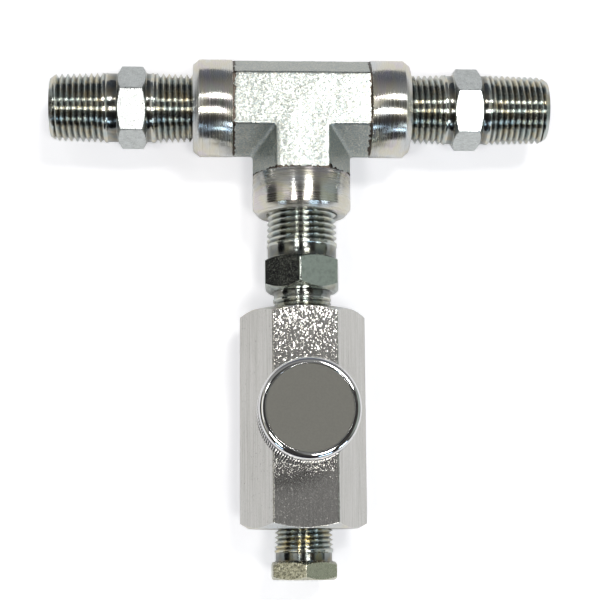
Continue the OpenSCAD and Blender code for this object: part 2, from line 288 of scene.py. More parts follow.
def add_node(tree, kind, inputs=None, **settings):
    """A node with its settings and inputs. An input is a value, or the output to link to it."""
    made = tree.nodes.new(kind)
    for name, setting in settings.items():
        setattr(made, name, setting)
    for name, source in (inputs or {}).items():
        if isinstance(source, bpy.types.NodeSocket):
            tree.links.new(source, made.inputs[name])
        else:
            made.inputs[name].default_value = source
    return made


def map_range(tree, source, low, high, to_low=0.0, to_high=1.0):
    """Spreads what lies from low to high over to_low to to_high, and holds the rest at the ends."""
    ends = {"Value": source, "From Min": low, "From Max": high, "To Min": to_low, "To Max": to_high}
    return add_node(tree, "ShaderNodeMapRange", ends).outputs["Result"]


def colour_ramp(tree, factor, stops):
    """Colour from a ramp of (place, colour), with places from 0 to 1."""
    ramp = add_node(tree, "ShaderNodeValToRGB", {0: factor})
    elements = ramp.color_ramp.elements
    for i, (place, colour) in enumerate(stops):
        element = elements[i] if i < 2 else elements.new(place)
        element.position = place
        element.color = (*colour, 1)
    return ramp.outputs[0]


class Finish:
    """A procedural metal or enamel, built from layers of noise in the piece's own coordinates."""

    def __init__(self, name, tone, roughness, metallic=1.0):
        self.material = bpy.data.materials.new(name)
        self.material.use_nodes = True
        self.material.diffuse_color = (*tone, 1)
        self.tree = self.material.node_tree
        self.shader = self.tree.nodes["Principled BSDF"]
        self.coords = self.node("ShaderNodeTexCoord").outputs["Object"]
        self.set("Base Color", (*tone, 1))
        self.set("Roughness", roughness)
        self.set("Metallic", metallic)

    def node(self, kind, inputs=None, **settings):
        return add_node(self.tree, kind, inputs, **settings)

    def vector(self, operation, *inputs):
        """The outcome of vector maths on the inputs."""
        return self.node("ShaderNodeVectorMath", dict(enumerate(inputs)), operation=operation).outputs[0]

    def feed(self, source, name):
        """Links an output to one of the shader's inputs."""
        self.tree.links.new(source, self.shader.inputs[name])

    def feeds(self, name):
        """The output that is linked to one of the shader's inputs, or None."""
        links = self.shader.inputs[name].links
        return links[0].from_socket if links else None

    def set(self, name, setting):
        self.shader.inputs[name].default_value = setting

    def noise(self, grain, detail=2.0, rough=0.5, offset=0.0):
        """Noise with features as long as grain, in millimetres along X, Y and Z, or endless where it is 0."""
        waves = [0 if g == 0 else 1 / (g * MM) for g in grain]
        place = self.vector("MULTIPLY_ADD", self.coords, waves, (offset, 2 * offset, 3 * offset))
        settings = {"Vector": place, "Scale": 1, "Detail": detail, "Roughness": rough}
        return self.node("ShaderNodeTexNoise", settings).outputs["Fac"]

    def distance(self, axis):
        """Distance from the line along axis, in metres."""
        centred = self.vector("SUBTRACT", self.coords, [c * MM for c in AXIS_THROUGH[axis]])
        across = self.vector("MULTIPLY", centred, [0 if letter == axis else 1 for letter in "XYZ"])
        return self.node("ShaderNodeVectorMath", {0: across}, operation="LENGTH").outputs["Value"]

    def radial(self, axis, grain):
        """Noise in rings round the line along axis; grain is the ring's width in millimetres."""
        settings = {"W": self.distance(axis), "Scale": 1 / (grain * MM), "Detail": 2}
        return self.node("ShaderNodeTexNoise", settings, noise_dimensions="1D").outputs["Fac"]

    def bump(self, height, depth):
        """Raises the surface by the height, whose full depth is in millimetres."""
        inputs = {"Height": height, "Strength": 1, "Distance": depth * MM}
        if self.feeds("Normal"):
            inputs["Normal"] = self.feeds("Normal")
        self.feed(self.node("ShaderNodeBump", inputs).outputs["Normal"], "Normal")

    def facets(self, grain, lean):
        """Crystals over a bump, the size of grain in millimetres; lean is how far each may tip along XYZ."""
        place = self.vector("MULTIPLY", self.coords, [1 / (g * MM) for g in grain])
        cells = self.node("ShaderNodeTexVoronoi", {"Vector": place, "Scale": 1})
        middle = self.vector("SUBTRACT", cells.outputs["Color"], (0.5, 0.5, 0.5))
        tip = self.vector("MULTIPLY", middle, [2 * share for share in lean])
        self.feed(self.vector("NORMALIZE", self.vector("ADD", self.feeds("Normal"), tip)), "Normal")

    def tones(self, factor, *stops):
        """Base colour from a ramp of (place, colour)."""
        self.feed(colour_ramp(self.tree, factor, stops), "Base Color")

    def painted_hollow_shade(self, hollow, level, share):
        """Painted shade: dims the base colour to a share of itself as the mesh's pointiness falls from level
        to hollow.
        """
        pointiness = self.node("ShaderNodeNewGeometry").outputs["Pointiness"]
        left = map_range(self.tree, pointiness, hollow, level, share)
        inputs = {0: self.feeds("Base Color"), "Scale": left}
        self.feed(self.node("ShaderNodeVectorMath", inputs, operation="SCALE").outputs[0], "Base Color")

    def turned(self, axis, spread=0.95):
        """Spreads highlights along the axis, as fine tool lines round it do."""
        self.set("Anisotropic", spread)
        self.set("Anisotropic Rotation", 0.25)
        self.feed(self.node("ShaderNodeTangent", direction_type="RADIAL", axis=axis).outputs[0], "Tangent")

    def rough(self, factor, low, high):
        """Roughness from low to high over the middle of the factor."""
        self.feed(map_range(self.tree, factor, 0.3, 0.7, low, high), "Roughness")


valve_low, valve_high = cad_box("valve_body")
left_low, left_high = cad_box("left_run_nipple")
AXIS_Z = (valve_low.z + valve_high.z) / 2
TEE_Y = (left_low.y + left_high.y) / 2
# A point on the line that tool marks run round, for each of its directions
AXIS_THROUGH = {"X": (0, TEE_Y, AXIS_Z), "Y": (0, 0, AXIS_Z), "Z": (0, 0, 0)}
# Radius of the knob's rim, height of the knurl over it, and number of ribs
KNOB_RIM, KNURL_OUT, KNURL_RIBS = 14.5, 0.25, 112


def forged_finish():
    """Zinc over the forging's grainy skin, with small bright crystals."""
    made = Finish("forged_zinc", (0.5, 0.52, 0.51), 0.3)
    made.tones(made.noise((0.45, 0.45, 0.45), detail=2, rough=0.7),
               (0.34, (0.30, 0.36, 0.38)), (0.45, (0.42, 0.46, 0.46)),
               (0.56, (0.50, 0.52, 0.47)), (0.66, (0.68, 0.66, 0.60)))
    made.rough(made.noise((0.5, 0.5, 0.5)), 0.32, 0.40)
    made.bump(made.noise((1.3, 1.3, 1.3), detail=1), 0.03)
    made.facets((0.36, 0.36, 0.36), (0.06, 0.06, 0.06))
    return made.material


def turned_finish(axis):
    """Zinc-plated turned steel with tool lines round the axis and faint tints."""
    made = Finish("turned_zinc_" + axis, (0.76, 0.76, 0.75), 0.3)
    made.turned(axis)
    across = [0.55 if letter == axis else 0 for letter in "XYZ"]
    tint = [6 if letter == axis else 14 for letter in "XYZ"]
    made.tones(made.noise(tint, detail=3),
               (0.30, (0.68, 0.71, 0.74)), (0.44, (0.74, 0.74, 0.72)),
               (0.54, (0.76, 0.73, 0.62)), (0.62, (0.74, 0.69, 0.71)),
               (0.72, (0.69, 0.74, 0.67)))
    made.rough(made.noise(across, detail=4, rough=0.65, offset=5), 0.13, 0.36)
    made.bump(made.noise(across, detail=3), 0.010)
    made.bump(made.radial(axis, 0.3), 0.006)
    made.bump(made.noise((0.35, 0.35, 0.35), detail=2), 0.006)
    return made.material


def thread_finish(name, axis, warm):
    """Zinc-plated thread, with painted shade darkening its grooves; warm is its yellowest tint."""
    made = Finish(name, (0.64, 0.65, 0.64), 0.2)
    made.turned(axis, 0.9)
    made.tones(made.noise((2.5, 2.5, 2.5), detail=3),
               (0.36, (0.56, 0.62, 0.61)), (0.48, (0.63, 0.65, 0.62)), (0.64, warm))
    made.rough(made.noise((0.9, 0.9, 0.9), detail=3), 0.14, 0.24)
    made.bump(made.noise((0.4, 0.4, 0.4), detail=3), 0.006)
    # Painted shade: the grooves' base colour is dimmed to stand in for their shade.
    made.painted_hollow_shade(0.467, 0.504, 0.3)
    return made.material


def hex_finish(name, tone, along, depth, lean, low, high):
    """Drawn hexagonal bar: fine grit with lines along the bar."""
    made = Finish(name, tone, 0.3)
    grain = [1.2 if letter == along else 0.3 for letter in "XYZ"]
    made.tones(made.noise((1.5, 1.5, 1.5), detail=4, rough=0.65),
               (0.36, [0.86 * c for c in tone]), (0.5, tone), (0.64, [min(1, 1.06 * c) for c in tone]))
    made.rough(made.noise((0.6, 0.6, 0.6)), low, high)
    made.bump(made.noise(grain, detail=2, rough=0.6), depth)
    made.facets((0.42, 0.42, 0.42), (lean, lean, lean))
    return made.material


def bar_finish():
    """The valve's bar: long scratches along Y over a fine sparkling grain."""
    made = Finish("valve_bar", (0.72, 0.72, 0.71), 0.2)
    made.tones(made.noise((0.45, 26, 0.45), detail=4, rough=0.7),
               (0.30, (0.43, 0.42, 0.39)), (0.48, (0.58, 0.57, 0.545)), (0.68, (0.68, 0.67, 0.65)))
    made.rough(made.noise((0.4, 3, 0.4), detail=3), 0.09, 0.14)
    made.bump(made.noise((0.5, 14, 0.5), detail=3, rough=0.6), 0.03)
    made.facets((0.2, 0.3, 0.2), (0.27, 0.047, 0.1))
    made.set("Coat Weight", 1)
    made.set("Coat Roughness", 0.36)
    made.set("Coat IOR", 1.7)
    return made.material


def knurl_finish():
    """Chrome on the crests of the knurl, with painted shade in its grooves: near-black and not metallic
    there.
    """
    made = Finish("knob_knurl_painted_groove_shade", (0.8, 0.8, 0.8), 0.15)
    depth = map_range(made.tree, made.distance("Z"), (KNOB_RIM - 0.1) * MM, (KNOB_RIM + KNURL_OUT) * MM)
    # Painted shade: the grooves are coloured near-black and made non-metallic to stand in for their shade.
    made.tones(depth, (0.3, (0.01, 0.01, 0.012)), (0.5, (0.9, 0.9, 0.91)))
    made.feed(map_range(made.tree, depth, 0.3, 0.5), "Metallic")
    made.set("Specular IOR Level", 0)
    return made.material


def chrome_finish():
    """Polished chrome with a slight unevenness."""
    made = Finish("knob_chrome", (0.88, 0.88, 0.89), 0.05)
    made.rough(made.noise((2, 2, 2), detail=5), 0.03, 0.09)
    made.bump(made.noise((4, 4, 2), detail=1), 0.03)
    return made.material


def enamel_finish():
    """Satin grey enamel."""
    made = Finish("face_enamel", (0.2, 0.2, 0.18), 0.5, metallic=0.0)
    made.tones(made.noise((0.5, 0.5, 0.5), detail=4),
               (0.3, (0.158, 0.155, 0.139)), (0.7, (0.176, 0.173, 0.155)))
    made.bump(made.noise((0.3, 0.3, 0.3), detail=3), 0.004)
    made.set("Specular IOR Level", 0.25)
    return made.material


def plain_finish(name, tone, low, high, metallic, grain, depth, axis=None):
    """Small pieces: one tone, roughness from low to high, and a grain all over or along one axis."""
    made = Finish(name, tone, (low + high) / 2, metallic)
    made.tones(made.noise((1.4, 1.4, 1.4), detail=4),
               (0.3, [0.85 * c for c in tone]), (0.7, [min(1, 1.12 * c) for c in tone]))
    made.rough(made.noise((0.8, 0.8, 0.8), detail=3), low, high)
    if axis:
        made.bump(made.noise([grain if letter == axis else 0 for letter in "XYZ"], detail=2), depth)
    else:
        made.bump(made.noise((grain, grain, grain), detail=3), depth)
    return made.material


FORGED = forged_finish()
TURNED_X = turned_finish("X")
TURNED_Y = turned_finish("Y")
THREAD_X = thread_finish("thread_zinc_X", "X", (0.72, 0.67, 0.54))
THREAD_Y = thread_finish("thread_zinc_Y", "Y", (0.68, 0.68, 0.58))
PLUG_THREAD = thread_finish("plug_thread_zinc", "Y", (0.78, 0.70, 0.46))
HEX_X = hex_finish("hex_zinc_X", (0.60, 0.63, 0.63), "X", 0.03, 0.03, 0.24, 0.34)
HEX_Y = hex_finish("hex_zinc_Y", (0.60, 0.64, 0.61), "Y", 0.012, 0.02, 0.1, 0.17)
PLUG_HEX = hex_finish("plug_zinc_hex", (0.66, 0.65, 0.52), "Y", 0.03, 0.09, 0.2, 0.3)
BAR = bar_finish()
CHROME = chrome_finish()
KNURL = knurl_finish()
ENAMEL = enamel_finish()
BARE = plain_finish("bare_steel", (0.60, 0.60, 0.60), 0.22, 0.38, 1.0, 0.25, 0.012, "Z")
BLACK = plain_finish("black_oxide", (0.035, 0.035, 0.037), 0.3, 0.5, 0.6, 0.5, 0.02)
RUBBER = plain_finish("seal_rubber", (0.02, 0.02, 0.02), 0.4, 0.6, 0.0, 0.4, 0.02)
# Painted shade: the groove beside each boss is coloured dark brown to stand in for its shade.
GROOVE_SHADE = plain_finish("groove_painted_shade", (0.12, 0.10, 0.085), 0.3, 0.5, 1.0, 0.5, 0.1)
WHITE_RING = plain_finish("backup_white", (0.85, 0.84, 0.79), 0.4, 0.55, 0.0, 0.5, 0.01)


def put(obj, node, materials):
    """obj stands for a CAD node: it rides on the same body and takes the given materials."""
    mesh = obj.data
    slots = [0] * len(mesh.polygons)
    mesh.polygons.foreach_get("material_index", slots)
    mesh.materials.clear()
    for material in materials:
        mesh.materials.append(material)
    mesh.polygons.foreach_set("material_index", slots)
    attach(obj, BODY_OF[node])
    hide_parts(node)


# Nipples and plug

# Size across the flats of the nipples' hexagons and of the plug's head, and turn of each round its axis
NIPPLE_AF, PLUG_AF = 22.22, 19.05
RUN_HEX_TURN, BRANCH_HEX_TURN, PLUG_HEX_TURN = 13, 25, 31
# Rounding of the corners of the hexagons
RUN_CORNER, BRANCH_CORNER, PLUG_CORNER, BAR_CORNER = 0.45, 0.5, 0.4, 0.7
# Round face that a chamfer leaves on a hexagon: its radius, and the chamfer's angle to it
NIPPLE_FACE, BRANCH_LOWER_FACE, PLUG_FACE, BAR_FACE = (10.95, 30), (10.3, 40), (9.15, 30), (16.5, 30)
# Lengths along the axis: ends with their necks, hexagons between them, and the necks alone
RUN_END, RUN_HEX_H = 21, 8.6
BRANCH_LOWER_END, BRANCH_HEX_H, BRANCH_UPPER_END = 17, 10.2, 21
LOWER_NECK, UPPER_NECK = 2.3, 4
PLUG_HEAD_H, PLUG_END, PLUG_NECK = 5.4, 16, 2.9
# Radius of the bores, and chamfer at their mouths
RUN_BORE_R, BRANCH_BORE_R, BORE_CHAMFER = 7.1, 5.15, 0.6


def chamfer_rings(z, face_r, angle, side, outline):
    """The turned chamfer of a hexagon: from a round face at z to the flats. side is +1 or -1 along Z."""
    slope = math.tan(math.radians(angle))

    def rise(a):
        return z + side * max(0.0, (outline(a) - face_r) * slope)

    def past_edge(a):
        return rise(a) + side * 0.12

    rings = [(z, face_r - 0.1), (z, face_r), (rise, outline), (past_edge, outline)]
    return rings if side > 0 else rings[::-1]


def hex_part(skin, height, outline, low_face, high_face):
    """A hexagon from 0 to height with both ends chamfered, in the second finish."""
    skin.slot = 1
    skin.rings(*chamfer_rings(0, *low_face, 1, outline))
    skin.ring(height / 2, outline)
    skin.rings(*chamfer_rings(height, *high_face, -1, outline))
    skin.slot = 0


def neck_rings(z, length, r):
    """The smooth neck from a nipple's hexagon at z to its thread, whose large end has the radius r."""
    return [(z, r + 0.1), (z + 0.08, r - 0.15), (z + 0.4, r - 0.3),
            (z + length - 0.35, r - 0.3), (z + length, r)]


def close_with_bore(skin, low, high, r):
    """The bore with its chamfered mouths, from high back to the first ring at low."""
    skin.rings((high, r + BORE_CHAMFER), (high - BORE_CHAMFER, r), (0, r), (low + BORE_CHAMFER, r))
    skin.close()


def male_thread(skin, start, end, small_end, small_r, pitch):
    """A male pipe thread along the rings from start to end; small_end is the one with the chamfer."""
    neck = end if small_end == start else start

    def crest(at):
        return small_r + abs(at - small_end) * PIPE_TAPER

    def share(at):
        run_in = (abs(at - small_end) - THREAD_SMOOTH) / THREAD_RUN_IN
        run_out = abs(neck - at) / (THREAD_RUN_OUT * pitch)
        return max(0.0, min(1.0, run_in, run_out))

    def limit(at):
        return small_r - THREAD_START_DROP + abs(at - small_end) * THREAD_START_SLOPE

    skin.thread(start, end, pitch, crest, share, limit)


def run_nipple(name, place, turn, inner_neck, outer_neck):
    """A run nipple. Local Z points outwards, and its zero is the hexagon's inner face."""
    outline = hexagon(NIPPLE_AF, RUN_CORNER, turn)
    low, high = -RUN_END, RUN_HEX_H + RUN_END
    inner_r = HALF_INCH_R + (RUN_END - inner_neck) * PIPE_TAPER
    outer_r = HALF_INCH_R + (RUN_END - outer_neck) * PIPE_TAPER
    skin = Skin(hex_columns(turn))
    skin.rings((low, RUN_BORE_R + BORE_CHAMFER), (low, HALF_INCH_R - THREAD_START_DROP - 0.15))
    male_thread(skin, low, -inner_neck, low, HALF_INCH_R, HALF_INCH_PITCH)
    skin.rings((-inner_neck + 0.35, inner_r - 0.3), (-0.4, inner_r - 0.3),
               (-0.08, inner_r - 0.15), (0, inner_r + 0.1))
    hex_part(skin, RUN_HEX_H, outline, NIPPLE_FACE, NIPPLE_FACE)
    skin.rings(*neck_rings(RUN_HEX_H, outer_neck, outer_r))
    male_thread(skin, RUN_HEX_H + outer_neck, high, high, HALF_INCH_R, HALF_INCH_PITCH)
    close_with_bore(skin, low, high, RUN_BORE_R)
    return skin.build(name, place, sharp=50)


def branch_nipple(name, place, turn):
    """The branch nipple. Local Z points to the tee, and its zero is the hexagon's lower face."""
    outline = hexagon(NIPPLE_AF, BRANCH_CORNER, turn)
    low, high = -BRANCH_LOWER_END, BRANCH_HEX_H + BRANCH_UPPER_END
    lower_r = THREE_EIGHTHS_R + (BRANCH_LOWER_END - LOWER_NECK) * PIPE_TAPER
    upper_r = HALF_INCH_R + (BRANCH_UPPER_END - UPPER_NECK) * PIPE_TAPER
    skin = Skin(hex_columns(turn))
    skin.rings((low, BRANCH_BORE_R + BORE_CHAMFER), (low, THREE_EIGHTHS_R - THREAD_START_DROP - 0.15))
    male_thread(skin, low, -LOWER_NECK, low, THREE_EIGHTHS_R, THREE_EIGHTHS_PITCH)
    skin.rings((-LOWER_NECK + 0.35, lower_r - 0.3), (-0.5, lower_r - 0.3),
               (-0.1, lower_r - 0.15), (0, lower_r + 0.15), (0, 9.4))
    hex_part(skin, BRANCH_HEX_H, outline, BRANCH_LOWER_FACE, NIPPLE_FACE)
    skin.rings(*neck_rings(BRANCH_HEX_H, UPPER_NECK, upper_r))
    male_thread(skin, BRANCH_HEX_H + UPPER_NECK, high, high, HALF_INCH_R, HALF_INCH_PITCH)
    close_with_bore(skin, low, high, BRANCH_BORE_R)
    return skin.build(name, place, sharp=50)


def outlet_plug(name, place, turn):
    """The plug. Local Z points into the valve, and its zero is the outer face of the dished head."""
    high = PLUG_HEAD_H + PLUG_END
    neck_end = PLUG_HEAD_H + PLUG_NECK
    neck_r = THREE_EIGHTHS_R + (PLUG_END - PLUG_NECK) * PIPE_TAPER
    skin = Skin(hex_columns(turn))
    skin.slot = 1
    skin.rings((0.12, 0), (0.12, 6.6), (0.04, 7.4))
    hex_part(skin, PLUG_HEAD_H, hexagon(PLUG_AF, PLUG_CORNER, turn), PLUG_FACE, PLUG_FACE)
    skin.rings((PLUG_HEAD_H, neck_r - 0.15), (PLUG_HEAD_H + 0.1, neck_r - 0.35),
               (PLUG_HEAD_H + 0.5, neck_r - 0.45), (neck_end - 0.35, neck_r - 0.45), (neck_end, neck_r))
    male_thread(skin, neck_end, high, high, THREE_EIGHTHS_R, THREE_EIGHTHS_PITCH)
    skin.ring(high, 0)
    return skin.build(name, place, sharp=50)


right_low = cad_box("right_run_nipple")[0]
branch_low, branch_high = cad_box("branch_nipple")
plug_low, plug_high = cad_box("outlet_plug")

left_nipple = run_nipple("left_run_nipple_threaded", against_x(left_high.x - RUN_END, TEE_Y, AXIS_Z),
                         RUN_HEX_TURN, inner_neck=1.9, outer_neck=3.5)
put(left_nipple, "left_run_nipple", [THREAD_X, HEX_X])
right_nipple = run_nipple("right_run_nipple_threaded", along_x(right_low.x + RUN_END, TEE_Y, AXIS_Z),
                          -RUN_HEX_TURN, inner_neck=2.3, outer_neck=2.0)
put(right_nipple, "right_run_nipple", [THREAD_X, HEX_X])
lower_nipple = branch_nipple("branch_nipple_threaded",
                             along_y(0, branch_low.y + BRANCH_LOWER_END, AXIS_Z), BRANCH_HEX_TURN)
put(lower_nipple, "branch_nipple", [THREAD_Y, HEX_Y])
plug = outlet_plug("outlet_plug_threaded", along_y(0, plug_low.y, AXIS_Z), PLUG_HEX_TURN)
put(plug, "outlet_plug", [PLUG_THREAD, PLUG_HEX])


# Tee

# Distance from the tee's middle to the arms' mouths
RUN_REACH, BRANCH_REACH = 33.6, 34.2
ARM_REACH = {"right": RUN_REACH, "left": RUN_REACH, "branch": BRANCH_REACH}
# Distance from the tee's middle to the end of the nipple in each arm
NIPPLE_AT = {"right": right_low.x, "left": abs(left_high.x), "branch": abs(branch_high.y - TEE_Y)}
# The turned bosses at the mouths, with their chamfers
BOSS_R, BOSS_LENGTH = 15.15, 12.2
BOSS_CHAMFER_LENGTH, BOSS_CHAMFER_DEPTH = 1.9, 1.6
# A forged arm's section: distance from the axis and half width of its wide panels and narrow edges
PANEL_RISE, PANEL_HALF = 13.4, 8.15
EDGE_REACH, EDGE_HALF = 15.15, 1.5
# Radius of the waterway, and depth of the tapped ports and of their countersinks
WATERWAY_R, PORT_DEPTH, COUNTERSINK = 8.9, 13, 0.7
# Size of the voxels that round the forging's edges, and rounds of smoothing
FORGING_VOXEL, SMOOTH_ROUNDS = 0.42, 9
# Unevenness of the forging: waves in a millimetre, and height in millimetres
FORGING_WAVES = ((0.16, 0.09), (0.9, 0.035), (2.3, 0.03))
# The groove beside a boss: reach of its cutter, depth at the narrow edges, and what the panels add
CUTTER_REACH, EDGE_GROOVE, PANEL_GROOVE = 17, 0.1, 0.4
# Its torn wall: mean distance from the boss, how far it wanders, and radius at which its noise is read
TORN_BACK, TORN_WANDER, TORN_NOISE_R = 0.85, 0.9, 15
# Where the groove's faces lie: length along the arm, and distance from the axis
GROOVE_LENGTH, GROOVE_INNER_R = 1.6, 12


def arm_place(arm):
    """Puts a piece's local Z along an arm, from the tee's middle."""
    along = {"right": along_x, "left": against_x, "branch": against_y}[arm]
    return along(0, TEE_Y, AXIS_Z)


def arm_section(panel_axis_x, rise, half, reach, edge):
    """Corners of a forged arm's section, its panels towards local X or local Y."""
    corners = [(rise, -half), (rise, half), (edge, reach), (-edge, reach),
               (-rise, half), (-rise, -half), (-edge, -reach), (edge, -reach)]
    return corners if panel_axis_x else [(-y, x) for x, y in corners]


def forged_arm(arm):
    """A prism with a forged arm's section, its panels narrower where they run into the boss."""
    end = ARM_REACH[arm] - BOSS_LENGTH
    stations = [(-4, 0), (end - 0.2, 0), (end + 0.5, 1), (end + 2.5, 1)]
    points, faces = [], []
    for z, drawn in stations:
        section = arm_section(arm != "branch", PANEL_RISE - 0.5 * drawn, PANEL_HALF - 1.2 * drawn,
                              EDGE_REACH - 0.1 * drawn, EDGE_HALF)
        points += [(x, y, z) for x, y in section]
    for k in range(len(stations) - 1):
        for i in range(8):
            j = (i + 1) % 8
            faces.append((8 * k + i, 8 * k + j, 8 * k + 8 + j, 8 * k + 8 + i))
    faces.append(tuple(range(8)))
    last = 8 * (len(stations) - 1)
    faces.append(tuple(range(last, last + 8)))
    return build_mesh("arm_" + arm, points, faces, [0] * len(faces), arm_place(arm), 30)


def boss(arm):
    """A turned boss with its end chamfer."""
    reach = ARM_REACH[arm]
    start, edge = reach - BOSS_LENGTH, reach - BOSS_CHAMFER_LENGTH
    face_r = BOSS_R - BOSS_CHAMFER_DEPTH
    skin = Skin(round_columns(128))
    skin.rings((start - 0.6, 0), (start - 0.6, 11.5), (start, 11.5), (start, BOSS_R - 0.12),
               (start + 0.12, BOSS_R), (edge - 0.1, BOSS_R), (edge + 0.1, BOSS_R - 0.1),
               (reach - 0.1, face_r + 0.08), (reach, face_r - 0.1), (reach, 0))
    return skin.build("boss_" + arm, arm_place(arm))


def section_angle(arm, angle):
    """An angle in an arm's own frame, in radians from the direction its wide panels face."""
    return math.radians(angle if arm != "branch" else angle - 90)


def section_radius(arm, angle):
    """How far a forged arm's surface is from its axis, at an angle in the arm's own frame."""
    a = section_angle(arm, angle)
    rise, reach = abs(math.cos(a)), abs(math.sin(a))
    slope = Vector((EDGE_REACH - PANEL_HALF, PANEL_RISE - EDGE_HALF)).normalized()
    bevel = PANEL_RISE * slope.x + PANEL_HALF * slope.y
    return bevel / max(bevel * rise / PANEL_RISE, bevel * reach / EDGE_REACH,
                       slope.x * rise + slope.y * reach)


def torn_edge(arm, angle):
    """Where the groove's torn wall stands along the arm."""
    a = math.radians(angle)
    shift = noise.noise(Vector((TORN_NOISE_R * math.cos(a), TORN_NOISE_R * math.sin(a), len(arm))))
    return ARM_REACH[arm] - BOSS_LENGTH - TORN_BACK + TORN_WANDER * shift


def groove(arm):
    """What the turning tool took out of the forging beside a boss: one clean wall, one torn."""
    clean = ARM_REACH[arm] - BOSS_LENGTH - 0.02

    def floor_r(angle):
        panel = abs(math.cos(section_angle(arm, angle)))
        return section_radius(arm, angle) - EDGE_GROOVE - PANEL_GROOVE * panel

    def torn_foot(angle):
        return min(torn_edge(arm, angle) + 0.2, clean - 0.05)

    def torn_top(angle):
        return min(torn_edge(arm, angle), clean - 0.1)

    skin = Skin(round_columns(180))
    skin.rings((clean, CUTTER_REACH), (clean, floor_r), (torn_foot, floor_r), (torn_top, CUTTER_REACH))
    skin.close()
    return skin.build("groove_" + arm, arm_place(arm))


def waterway(arm):
    """What is drilled and tapped out of an arm: countersink, tapered port and waterway."""
    reach = ARM_REACH[arm]
    inner = reach - PORT_DEPTH
    mouth = HALF_INCH_R + (reach - NIPPLE_AT[arm]) * PIPE_TAPER + THREAD_GAP
    skin = Skin(round_columns(96))
    skin.rings((0, 0), (0, WATERWAY_R), (inner, WATERWAY_R), (inner, mouth - PORT_DEPTH * PIPE_TAPER),
               (reach - COUNTERSINK, mouth - 0.02), (reach + 1, mouth + COUNTERSINK + 1), (reach + 1, 0))
    return skin.build("waterway_" + arm, arm_place(arm))


def smooth_forging(obj):
    """Rounds the forging's edges and creases and gives it the unevenness of a die."""
    grid = obj.modifiers.new("grid", "REMESH")
    grid.mode = "VOXEL"
    grid.voxel_size = FORGING_VOXEL * MM
    soften = obj.modifiers.new("soften", "SMOOTH")
    soften.factor = 0.5
    soften.iterations = SMOOTH_ROUNDS
    apply_modifiers(obj)
    raised = []
    for vertex in obj.data.vertices:
        at = vertex.co / MM
        wave = sum(noise.noise(at * waves) * height for waves, height in FORGING_WAVES)
        raised += (vertex.co + vertex.normal * wave * MM)[:]
    obj.data.vertices.foreach_set("co", raised)
    obj.data.update()


def tee():
    """The forging with its grooves, bosses and ports, and the finish of each face."""
    arms = [forged_arm(arm) for arm in ARM_REACH]
    body = arms[0]
    body.name = "tee_forging"
    combine(body, arms[1:], "UNION")
    smooth_forging(body)
    combine(body, [groove(arm) for arm in ARM_REACH], "DIFFERENCE")
    combine(body, [boss(arm) for arm in ARM_REACH], "UNION")
    combine(body, [waterway(arm) for arm in ARM_REACH], "DIFFERENCE")
    for face in body.data.polygons:
        at = face.center / MM - Vector((0, TEE_Y, AXIS_Z))
        face.material_index = tee_slot(at, face.normal)
    shade(body, 45)
    return body


def tee_slot(at, facing):
    """Which finish a place on the tee has: 0 forged, 1 turned run bosses, 2 turned branch boss, 3 groove,
    painted dark as shade.
    """
    run_r = math.hypot(at.y, at.z)
    branch_r = math.hypot(at.x, at.z)
    for reach, out, r, along, across, turned in (
            (RUN_REACH, abs(at.x), run_r, facing.x, at.y, 1),
            (BRANCH_REACH, -at.y, branch_r, facing.y, at.x, 2)):
        past = out - reach + BOSS_LENGTH
        if -GROOVE_LENGTH < past < -0.01 and r > GROOVE_INNER_R:
            surface = section_radius("right", math.degrees(math.atan2(across, at.z)))
            if abs(along) > 0.6 or r < surface - 0.12:
                return 3
        if past > -0.02 and r < BOSS_R + 0.2:
            return turned
    if run_r < WATERWAY_R + 0.05:
        return 1
    return 2 if branch_r < WATERWAY_R + 0.05 and at.y < 0 else 0


put(tee(), "tee_body", [FORGED, TURNED_X, TURNED_Y, GROOVE_SHADE])


# Valve body

# The tapped ports: depth, countersink, and radius and height of the drill's cone past them
BAR_PORT_DEPTH, BAR_COUNTERSINK, CONE_R, CONE_HEIGHT = 15.5, 0.7, 5.2, 1.6
# The two passages, the inlet's depth under the axis and the outlet's gap over the seat
PASSAGE_R, PASSAGE_LENGTH, INLET_DROP, OUTLET_GAP = 2.6, 18, 3.2, 0.15
# Height of the seat over the axis, and radius of the chamber on it
SEAT_RISE, CHAMBER_R = 1, 6
# The bonnet's thread and counterbore, and the mouth's chamfer
BONNET_R, BONNET_DEPTH = 7.99, 9.8
COUNTERBORE_R, COUNTERBORE_DEPTH = 9.1, 1.95
MOUTH_CHAMFER, MOUTH_CUTTER_R = 0.25, 10.2


def valve():
    """The hexagonal bar with its ports, passages and bonnet bore."""
    length = valve_high.y - valve_low.y
    mouth_in = THREE_EIGHTHS_R + (valve_high.y - branch_low.y) * PIPE_TAPER + THREAD_GAP
    mouth_out = THREE_EIGHTHS_R + (plug_high.y - valve_low.y) * PIPE_TAPER + THREAD_GAP
    outline = hexagon(valve_high.z - valve_low.z, BAR_CORNER, 0)
    inlet_face = chamfer_rings(length, *BAR_FACE, -1, outline)
    skin = Skin(hex_columns(0))
    skin.slot = 1
    skin.rings(*port_rings(mouth_out, 0, 1))
    skin.rings(*chamfer_rings(0, *BAR_FACE, 1, outline))
    skin.slot = 0
    skin.rings(*[(length * share, outline) for share in (0.1, 0.3, 0.5, 0.7, 0.9)])
    skin.rings(inlet_face[0])
    skin.slot = 1
    skin.rings(*inlet_face[1:])
    skin.rings(*port_rings(mouth_in, length, -1)[::-1])
    body = skin.build("valve_bar", along_y(0, valve_low.y, AXIS_Z), sharp=30)
    combine(body, valve_cutters(), "DIFFERENCE")
    shade(body, 30)
    return body


def port_rings(mouth, face, side):
    """A tapped port from its drilled bottom to the bar's face; side is +1 or -1, into the bar along Z."""
    bottom = face + side * BAR_PORT_DEPTH
    return [(bottom + side * CONE_HEIGHT, 0), (bottom, CONE_R),
            (bottom, mouth - BAR_PORT_DEPTH * PIPE_TAPER), (face + side * BAR_COUNTERSINK, mouth),
            (face, mouth + BAR_COUNTERSINK), (face, 13)]


